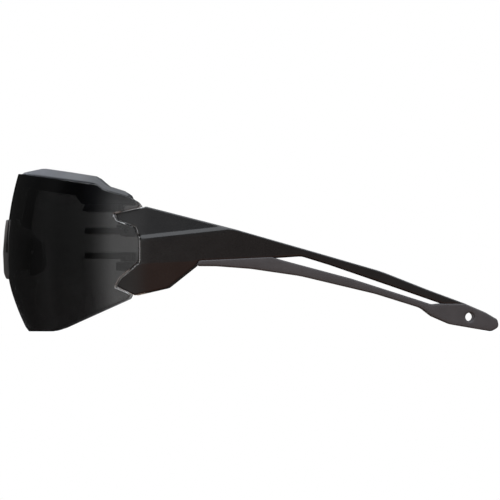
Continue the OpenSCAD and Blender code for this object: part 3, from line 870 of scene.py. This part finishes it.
bridge_shape = plate([rounded(BRIDGE_OUTLINE)], across(BRIDGE_HALF_W), 0, 2 * BRIDGE_HALF_W, 0.22, 0.22,
                     step=1.2, side=0.35, rings=3)
make("nose_bridge_body", bridge_shape, "front", BRIDGE_MAT, replaces=["nose_bridge"])

STEM_TOP, STEM_LOW, STEM_FACE = 47.6, ARCH_TOP + 4.2, LENS_T + 2.4
STEM_OUTLINE = [
    (-STEM_HALF_W - 1.2, STEM_TOP, 0.3),
    (STEM_HALF_W + 1.2, STEM_TOP, 0.3),
    (STEM_HALF_W, STEM_TOP - 3.4, 3),
    (STEM_HALF_W, STEM_LOW, 0.3),
    (-STEM_HALF_W, STEM_LOW, 0.3),
    (-STEM_HALF_W, STEM_TOP - 3.4, 3),
]
stem_shape = plate([rounded(STEM_OUTLINE)], on_shell, STEM_FACE, STEM_FACE + STEM_T, 0.7, 0.9,
                   step=1.2, side=0.4)
make("nose_stem", stem_shape, "front", FRAME_MAT)

PAD_SPLAY, PAD_FLARE = radians(28), radians(12)
PAD_AFT, PAD_DOWN = tan(PAD_SPLAY), tan(PAD_FLARE) / cos(PAD_SPLAY)
PAD_HALF = PAD_T / 2 / (cos(PAD_SPLAY) * cos(PAD_FLARE))


def pad_place(p, t):
    """Puts a side-view outline on the left pad's leaning plane, at a depth across."""
    x = PAD_X + PAD_AFT * (p[:, 0] - PAD_Y) - PAD_DOWN * (p[:, 1] - PAD_Z) + t
    return np.stack([x, p[:, 0], p[:, 1]], -1)


pad_shape = plate([rounded(PAD_OUTLINE)], pad_place, -PAD_HALF, PAD_HALF, 1.15, 1.15, step=0.9, side=0.35,
                  rings=6)


# ---------------- clips, lugs and pins
def prong(z, h, front, rear, thick=PRONG_T, depth=LENS_T + FIT, slant=0.5):
    """A flat bar behind the lens with a slanted front end."""
    r = 0.2
    loop = rounded([(front + 0.3, z + h, r), (rear, z + h, r), (rear, z, r), (front - slant + 0.3, z, r)])
    return plate([unrolled(resampled(loop, 0.8), depth)], on_shell, depth, depth + thick,
                 0.22, 0.3, step=1.0, side=0.5, rings=3)


def upright(z, h):
    """Puts a plan outline at its height: depth is measured down from the top face."""
    return lambda p, t: np.stack([p[:, 0], p[:, 1], z + h - t], -1)


def circle(x, y, r, n=40):
    turns = [2 * pi * k / n for k in range(n)]
    return np.array([(x + r * cos(a), y + r * sin(a)) for a in turns])


PIN_HOLE = circle(HINGE_X, HINGE_Y, PIN_R + 0.05)


def lug(loop, z, h, step):
    """A flat block round the pin, from its plan outline."""
    return plate([loop, PIN_HOLE], upright(z, h), 0, h, 0.25, 0.25, step=step, side=0.4, rings=3)


def knuckle(z, h):
    """A fixed lug round the pin, seated against the lens's inner face."""
    r = SIDE_R + fall(z + h / 2, LENS_T + FIT)
    wall = [(SIDE_AXIS_X + sqrt(r ** 2 - (y - SIDE_AXIS_Y) ** 2) - 0.02, y)
            for y in np.linspace(HINGE_Y - 2, HINGE_Y + 3, 6)]
    loop = rounded([(HINGE_X - 2, HINGE_Y - 2, 0.6), *wall, (HINGE_X - 2, HINGE_Y + 3, 0.9)])
    return lug(loop, z, h, 0.9)


PRONG_REAR = HINGE_Y - 1.9
upper_prong = prong(UPPER_PRONG_Z, PRONG_H, PRONG_FRONT, PRONG_REAR)
lower_prong = prong(LOWER_PRONG_Z, PRONG_H, PRONG_FRONT, PRONG_REAR)
CAP_R, CAP_H = 3.4, 1.3
CAP_T = CAP_H + 0.1
CAP_LOW = UPPER_LUG_Z + UPPER_LUG_H - CAP_T
cap = plate([circle(HINGE_X, HINGE_Y, CAP_R, 60), PIN_HOLE], upright(CAP_LOW, CAP_T), 0, CAP_T, 0.3, 0.01,
            step=0.9, side=0.4, rings=3)
upper_lug = joined(knuckle(UPPER_LUG_Z, UPPER_LUG_H - CAP_H), cap)
lower_lug = knuckle(LOWER_LUG_Z, LOWER_LUG_H)
HOOK_DEPTH, HOOK_T = LENS_T + BROW_T + FIT, 1.2
CLIP_REAR = HINGE_Y - 2.6
BLOCK_FRONT = CLIP_REAR - 5
clip = joined(prong(CLIP_Z, CLIP_H, PRONG_FRONT, CLIP_REAR - 1, slant=1.1),
              prong(CLIP_Z, CLIP_H, BLOCK_FRONT, CLIP_REAR, HOOK_DEPTH + HOOK_T - LENS_T - FIT, slant=0.2),
              prong(CLIP_Z, CLIP_H + 2.4, BLOCK_FRONT, CLIP_REAR, HOOK_T, HOOK_DEPTH, slant=0.2))

# ---------------- temples
CREASE_UP, CREASE_LOW = LOWER_LUG_Z + 7.6, LOWER_LUG_Z - 0.7
SLOPE_UP, SLOPE_LOW = radians(6.2), radians(2.6)
STRIPE_FALL, FACET_FALL = 0.55, tan(radians(11))
CREASE_UP_END, CREASE_LOW_END = 84, FORK_Y - 4


def above_crease(p, z0, slope):
    """How far each point lies above a crease."""
    return (p[:, 1] - z0 - (p[:, 0] - SIDE_AXIS_Y) * tan(slope)) * cos(slope)


def arm_face(p):
    """Depth of the hard arm's outer face: a stripe, a facet above it and one below the crease."""
    h = above_crease(p, CREASE_UP, SLOPE_UP)
    facet = STRIPE_FALL * STRIPE_W + (h - STRIPE_W) * FACET_FALL
    up = np.where(h <= 0, 0, np.where(h < STRIPE_W, STRIPE_FALL * h, facet))
    g = -above_crease(p, CREASE_LOW, SLOPE_LOW)
    low = np.where((g > 0) & (p[:, 0] < FORK_Y + 2), g * FACET_FALL, 0)
    return np.maximum(up, low)


def crease_lines(z0, slope, heights, y_end):
    """Lines at heights above a crease, which the mesh follows so that the crease stays sharp."""
    y0 = TAB_Y - 1
    ys = np.linspace(y0, y_end, int((y_end - y0) / 1.2))
    return [[(y, z0 + (y - SIDE_AXIS_Y) * tan(slope) + h) for y in ys] for h in heights]


ARM_LINES = (crease_lines(CREASE_UP, SLOPE_UP, (-0.14, 0.14, STRIPE_W - 0.14, STRIPE_W + 0.14), CREASE_UP_END)
             + crease_lines(CREASE_LOW, SLOPE_LOW, (-0.16, 0.16), CREASE_LOW_END))


def temple_lug(z, corners):
    """A swinging lug round the pin, from corners given from the hinge axis."""
    loop = rounded([(HINGE_X + x, HINGE_Y + y, 0.6) for x, y in corners])
    return lug(loop, z, TEMPLE_LUG_H, 1.0)


ARM_IN = SIDE_AXIS_X + SIDE_R - ARM_T - HINGE_X
UPPER_LUG_CORNERS = [(-2, -3), (2.5, -3), (2.5, -1), (ARM_IN + 0.3, 1), (ARM_IN + 0.3, 3.5), (-2, 3.5)]
LOWER_LUG_CORNERS = [(-2, -3.5), (2.4, -3.5), (2.4, 3.2), (ARM_IN + 0.6, 5), (ARM_IN + 0.6, 7), (0, 6.5),
                     (-2, 4.5)]
arm_shape = joined(
    plate([rounded(ARM_OUTLINE)], on_temple, arm_face, ARM_T, 0.4, 0.7, step=1.7, side=0.55, lines=ARM_LINES),
    temple_lug(UPPER_TEMPLE_LUG_Z, UPPER_LUG_CORNERS),
    temple_lug(LOWER_TEMPLE_LUG_Z, LOWER_LUG_CORNERS))
grip_shape = plate([rounded(GRIP_OUTLINE), circle(*LANYARD, LANYARD_R, 48)], on_temple,
                   (ARM_T - GRIP_T) / 2, (ARM_T + GRIP_T) / 2, 0.5, 0.5, step=1.3, side=0.5)


def paint_edge_highlight(piece, outline, band, stretches):
    """Paints a highlight on the edge, within band of the outline, on stretches given by their low and high y
    and z: a near-white material on these faces stands in for light along the edges.
    """
    piece.data.materials.append(EDGE_HIGHLIGHT_MAT)
    line = rounded(outline)
    for face in piece.data.polygons:
        _, y, z = from_frame(face.center)
        if any(y0 < y < y1 and z0 < z < z1 for y0, y1, z0, z1 in stretches):
            if edge_distance(np.array([(y, z)]), [line])[0] < band:
                face.material_index = 1


def add(side, node_name, ending, shape, material, body="front", stands_in=True):
    """One side's piece, which stands in for the CAD node that it is named after."""
    node_name = f"{node_name}_{side}"
    return make(f"{node_name}_{ending}", shape, body, material, side == "right",
                [node_name] if stands_in else ())


for side in ("left", "right"):
    temple = f"{side}_temple"
    arm = add(side, "temple_arm", "body", arm_shape, ARM_MAT, temple)
    weighted(arm)
    # painted highlight along the arm's edge round the claws
    paint_edge_highlight(arm, ARM_OUTLINE, band=0.13, stretches=[(TAB_Y - 1, LENS_REAR + 2, 5, 60)])
    add(side, "temple_grip", "rubber", grip_shape, GRIP_MAT, temple)
    add(side, "nose_pad", "soft", pad_shape, SOFT_MAT)
    for level, block, bar in (("upper", upper_lug, upper_prong), ("lower", lower_lug, lower_prong)):
        add(side, f"{level}_hinge_lug", "body", block, HINGE_MAT)
        add(side, f"{level}_hinge_lug", "prong", bar, HINGE_MAT, stands_in=False)
    add(side, "brow_clip", "body", clip, FRAME_MAT)
    for metal in (f"upper_hinge_pin_{side}", f"lower_hinge_pin_{side}", f"nose_wire_{side}"):
        frame["nodes"][metal].data.materials.clear()
        frame["nodes"][metal].data.materials.append(STEEL_MAT)

# painted highlight along the lens's edge beside the claws
paint_edge_highlight(lens, LENS_OUTLINE, band=0.09, stretches=[
    (TAB_Y - 2, LENS_REAR - 4.5, UPPER_TEMPLE_LUG_Z, CLIP_Z - 0.2),
    (TAB_Y - 2, LENS_REAR - 3, LOWER_TEMPLE_LUG_Z - 8.2, LOWER_LUG_Z - 2.6)])

# ---------------- image points
POINTS = {
    "left": (3.0, None), "right": (498.5, None), "top": (None, 168.2), "bottom": (None, 331.5),
    "upper_claw_tip": (115, 213.5), "lower_claw_tip": (117.5, 287), "lens_tab_rear": (142, None),
    "lens_lobe_rear": (142.4, 206.9), "lens_low_corner": (132.9, 295.1), "arm_low_corner": (136, 295.5),
    "grip_front": (198, 264), "lanyard_hole": (470, 317), "pad_rear": (45.2, 262.9),
    "upper_prong": (84.0, 232.8), "lower_prong": (84.0, 257.7), "clip_prong": (82.5, 210.2),
    "upper_boss": (126.2, 230.6), "lower_boss": (124.6, 258.2), "lower_bar": (133.6, 256.5),
    "first_rib": (111.6, 207.2), "last_rib": (117.4, 207.2),
}

# ---------------- camera
# It stands far off on the wearer's left, so that the near side is drawn at PIXEL metres to a pixel and the
# far side is hidden behind it but for a trace.
W = H = 500
PIXEL = 0.3312 * MM
CAM_DISTANCE, CAM_SENSOR, NEAR_SIDE_X = 7.9, 10.0, 0.060
CAM_AIM = Vector((NEAR_SIDE_X, 0.00003, 0.0270))
CAM_BACK = Vector((1, 0.0024, -0.002)).normalized()


def stand(ob, at, way):
    """Puts a camera or a light in the scene at a place, facing a way."""
    scene.collection.objects.link(ob)
    ob.location = at
    ob.rotation_mode = "QUATERNION"
    ob.rotation_quaternion = way.to_track_quat("-Z", "Y")


cam_data = bpy.data.cameras.new("camera")
cam = bpy.data.objects.new("camera", cam_data)
stand(cam, CAM_AIM + CAM_BACK * CAM_DISTANCE, -CAM_BACK)
scene.camera = cam
cam_data.sensor_fit = "AUTO"
cam_data.sensor_width = CAM_SENSOR
cam_data.lens = CAM_SENSOR * CAM_DISTANCE / (W * PIXEL)
cam_data.clip_start, cam_data.clip_end = 0.1, 20.0
bpy.context.view_layer.update()


def image_ray(x, y):
    """Start and direction of the ray through a point of the photograph's frame."""
    long = max(W, H)
    d = Vector((x - W / 2 + cam_data.shift_x * long, H / 2 - y + cam_data.shift_y * long,
                -long * cam_data.lens / cam_data.sensor_width))
    return cam.matrix_world.translation, (cam.matrix_world.to_3x3() @ d).normalized()


def to_image(v):
    """Image x, y of points in the frame, as an array."""
    m = np.array(cam.matrix_world.inverted())
    c = np.asarray(v) @ m[:3, :3].T + m[:3, 3]
    long = max(W, H)
    f = long * cam_data.lens / cam_data.sensor_width
    return np.stack([W / 2 - cam_data.shift_x * long + c[:, 0] / -c[:, 2] * f,
                     H / 2 + cam_data.shift_y * long - c[:, 1] / -c[:, 2] * f], -1)


def surface_place(piece, x, y):
    """Where the ray through an image point meets a piece, in millimetres, with the face's normal."""
    tree = BVHTree.FromPolygons([piece.matrix_world @ v.co for v in piece.data.vertices],
                                [p.vertices[:] for p in piece.data.polygons])
    start, d = image_ray(x, y)
    hit, normal, *_ = tree.ray_cast(start, d)
    if hit is None:
        hit, normal, *_ = tree.find_nearest(start + d * ((start.x - NEAR_SIDE_X) / -d.x))
    if normal.dot(d) > 0:
        normal = -normal
    return from_frame(hit), np.array(normal)


# ---------------- details of the lugs and clips
def set_on(name, piece, point, loop, material, proud=0.07):
    """Sets a small raised shape, and its mirror image, where an image point shows it on a piece."""
    at, n = surface_place(piece, *point)
    along = np.cross((0, 0, 1), n)
    along /= norm(along)
    up = np.cross(n, along)

    def place(p, t):
        return at + p[:, :1] * along + p[:, 1:] * up - t[:, None] * n

    shape = plate([loop], place, -proud, 0.5, 0.04, 0.04, step=0.6, side=0.25, rings=1)
    for side in ("left", "right"):
        make(f"{name}_{side}", shape, "front", material, side == "right")


def box(w, h, r=0.12):
    return rounded([(-w / 2, -h / 2, r), (w / 2, -h / 2, r), (w / 2, h / 2, r), (-w / 2, h / 2, r)])


upper_body, lower_body, clip_body = (bpy.data.objects[f"{name}_left_body"]
                                     for name in ("upper_hinge_lug", "lower_hinge_lug", "brow_clip"))
set_on("upper_lug_boss", upper_body, POINTS["upper_boss"], circle(0, 0, 0.85, 28), FRAME_MAT)
set_on("lower_lug_boss", lower_body, POINTS["lower_boss"], box(1.5, 1.5), FRAME_MAT)
set_on("lower_lug_bar", lower_body, POINTS["lower_bar"], box(0.9, 2.4), FRAME_MAT)
first, last = np.array(POINTS["first_rib"]), np.array(POINTS["last_rib"])
for k, share in enumerate((0, 0.517, 1)):
    set_on(f"clip_rib_{k + 1}", clip_body, first + share * (last - first), box(0.5, 1.5), HINGE_MAT)

# ---------------- floor, light and background
# Levels round the horizon, as pairs of degrees (from the camera's side towards the front) and level: a tall
# soft light beside the camera, a dim wall behind it, and dark beyond the front.
WALL = [(-180, 0.01), (-90, 0.06), (-17, 0.36), (-11, 0.2), (-3, 0.05), (3, 0.05), (10, 0.97), (36, 0.86),
        (49, 0.27), (59, 0.04), (67, 0.02), (80, 0.02), (100, 0.022), (118, 0.05), (133, 0.024), (150, 0.022),
        (163, 0.018), (172, 0.006), (180, 0.006)]
OPEN_SKY = [(-180, 0.2), (-120, 1.0), (40, 1.0), (80, 0.12), (180, 0.12)]
WARM_GROUND = [(-180, 0.0), (-38, 0.0), (-24, 1.0), (2, 1.0), (12, 0.1), (60, 0.03), (180, 0.0)]
PLAIN_GROUND = [(-180, 0.0), (-120, 1.0), (-38, 1.0), (-24, 0.0), (60, 0.0), (180, 0.0)]
SKY, WARM, PLAIN = (0.43, 0.465, 0.54), (0.48, 0.2, 0.13), (0.2, 0.195, 0.19)
STRAIGHT_BEHIND = -0.9995


def world():
    """Light by direction, and a white background for the camera, also through the lens."""
    w = bpy.data.worlds.new("studio")
    scene.world = w
    w.use_nodes = True
    nt = w.node_tree
    nt.nodes.clear()
    way = place_of(nt, "Generated")
    turn = calc(nt, "ARCTAN2", calc(nt, "MULTIPLY", way["Y"], -1.0), way["X"])
    turn = spread(nt, turn, 0, 1, -pi, pi)

    def round_horizon(table):
        return stops(nt, turn, [((degrees + 180) / 360, level) for degrees, level in table])

    wall = times(nt, round_horizon(WALL), spread(nt, calc(nt, "ABSOLUTE", way["Z"]), 1, 0, 0.35, 0.48))
    sky = times(nt, SKY, round_horizon(OPEN_SKY), spread(nt, way["Z"], 0, 1, 0.1, 0.9))
    below = spread(nt, way["Z"], 0, 1, 0.0, -0.3)
    ground = plus(nt, times(nt, WARM, round_horizon(WARM_GROUND), below),
                  times(nt, PLAIN, round_horizon(PLAIN_GROUND), below))
    studio = node(nt, "ShaderNodeBackground", plus(nt, wall, plus(nt, sky, ground)))
    white = node(nt, "ShaderNodeBackground", (1, 1, 1, 1))
    path = node(nt, "ShaderNodeLightPath").outputs
    behind = calc(nt, "MULTIPLY", path["Is Glossy Ray"], calc(nt, "LESS_THAN", way["X"], STRAIGHT_BEHIND))
    bounces = calc(nt, "ADD", path["Glossy Depth"], path["Diffuse Depth"])
    through = calc(nt, "MULTIPLY", path["Is Transmission Ray"], calc(nt, "LESS_THAN", bounces, 0.5))
    shown = calc(nt, "MAXIMUM", calc(nt, "MAXIMUM", path["Is Camera Ray"], through), behind)
    mix = node(nt, "ShaderNodeMixShader", shown, studio.outputs[0], white.outputs[0])
    node(nt, "ShaderNodeOutputWorld", mix.outputs[0])


def lamp(name, at, aim, side, radiance, colour):
    """A square soft light that the camera doesn't see."""
    data = bpy.data.lights.new(name, "AREA")
    data.shape = "RECTANGLE"
    data.size = data.size_y = side
    data.energy = radiance * pi * side ** 2
    data.color = colour
    ob = bpy.data.objects.new(name, data)
    stand(ob, at, Vector(aim) - Vector(at))
    ob.visible_camera = False


def paper():
    """Pale paper with the object's shadow. What it sends back up is dimmer and warm, and reflections look
    past it into the studio."""
    m, nt, bsdf, out = material("pale_floor")
    give(bsdf, Base_Color=cloudy(nt, 20, 2, (0.3, 0.21, 0.16), (0.34, 0.24, 0.18)), Roughness=0.8,
         Specular_IOR_Level=0.0)
    path = node(nt, "ShaderNodeLightPath").outputs
    straight = calc(nt, "LESS_THAN", path["Glossy Depth"], 0.5)
    through = calc(nt, "MULTIPLY", path["Is Transmission Ray"], straight)
    shown = calc(nt, "MAXIMUM", path["Is Camera Ray"], through)
    sheet = node(nt, "ShaderNodeBsdfDiffuse", (0.36, 0.36, 0.36, 1))
    glow = node(nt, "ShaderNodeEmission", None, 0.62)
    lit = node(nt, "ShaderNodeAddShader", sheet.outputs[0], glow.outputs[0])
    clear = node(nt, "ShaderNodeBsdfTransparent")
    bounced = node(nt, "ShaderNodeMixShader", path["Glossy Depth"], bsdf.outputs[0], clear.outputs[0])
    give(out, Surface=node(nt, "ShaderNodeMixShader", shown, bounced.outputs[0], lit.outputs[0]).outputs[0])
    return m


world()
lamp("top_softbox", (0.1, 0, 0.5), aim=(0.1, 0, 0.02), side=1.0, radiance=2.5, colour=(0.93, 0.965, 1.0))
FLOOR_HALF, FLOOR_Z = 0.32, -0.0001
FLOOR_CORNERS = [(x * FLOOR_HALF, y * FLOOR_HALF, FLOOR_Z) for x, y in ((-1, -1), (1, -1), (1, 1), (-1, 1))]
floor_mesh = bpy.data.meshes.new("floor")
floor_mesh.from_pydata(FLOOR_CORNERS, [], [(0, 1, 2, 3)])
floor_mesh.materials.append(paper())
floor = bpy.data.objects.new("floor", floor_mesh)
scene.collection.objects.link(floor)
floor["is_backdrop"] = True

scene.view_settings.view_transform = "Standard"


# ---------------- where the image points show
LEFTMOST, RIGHTMOST, LOWEST = (-1, 0), (1, 0), (0, 1)


def world_points(ob):
    return np.array([ob.matrix_world @ v.co for v in ob.data.vertices])


def furthest(name, way, rule=lambda y, z: z > 0):
    """Where a piece's furthest point one way shows in the image, of those whose y and z keep to a rule."""
    points = world_points(bpy.data.objects[name])
    _, y, z = from_frame(points).T
    image = to_image(points[rule(y, z)])
    return tuple(image[(image @ way).argmax()])


def middle(name):
    """Where the middle of a small piece shows in the image."""
    image = to_image(world_points(bpy.data.objects[name]))
    return tuple((image.min(0) + image.max(0)) / 2)


def found_points():
    """Where the named points lie in the image as modelled."""
    image = to_image(np.concatenate([world_points(o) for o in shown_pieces() if o.type == "MESH"]))
    arm, lens_piece = "temple_arm_left_body", "lens_shield"
    tab = furthest(lens_piece, RIGHTMOST, lambda y, z: (z > LOWER_LUG_Z + 0.4) & (z < UPPER_LUG_Z - 1.3))
    low, high = image.min(0), image.max(0)
    return {
        "left": (low[0], None), "right": (high[0], None), "top": (None, low[1]), "bottom": (None, high[1]),
        "upper_claw_tip": furthest(arm, LEFTMOST, lambda y, z: z > CLAW_Z + 0.6),
        "lower_claw_tip": furthest(arm, LEFTMOST, lambda y, z: z < LOWER_TEMPLE_LUG_Z - 1.5),
        "lens_tab_rear": (tab[0], None),
        "lens_lobe_rear": furthest(lens_piece, RIGHTMOST, lambda y, z: z > UPPER_TEMPLE_LUG_Z + 3),
        "lens_low_corner": furthest(lens_piece, RIGHTMOST, lambda y, z: z < LOWER_TEMPLE_LUG_Z - 4.8),
        "arm_low_corner": furthest(arm, LOWEST, lambda y, z: y < TAB_Y + 14.8),
        "grip_front": furthest("temple_grip_left_rubber", LEFTMOST),
        "lanyard_hole": tuple(to_image(to_frame(on_temple(np.array([LANYARD]), np.array([0.0]))))[0]),
        "pad_rear": furthest("nose_pad_left_soft", RIGHTMOST),
        "upper_prong": furthest("upper_hinge_lug_left_prong", LEFTMOST),
        "lower_prong": furthest("lower_hinge_lug_left_prong", LEFTMOST),
        "clip_prong": furthest("brow_clip_left_body", LEFTMOST),
        "upper_boss": middle("upper_lug_boss_left"),
        "lower_boss": middle("lower_lug_boss_left"),
        "lower_bar": middle("lower_lug_bar_left"),
        "first_rib": middle("clip_rib_1_left"),
        "last_rib": middle("clip_rib_3_left"),
    }


bpy.context.view_layer.update()
got = found_points()
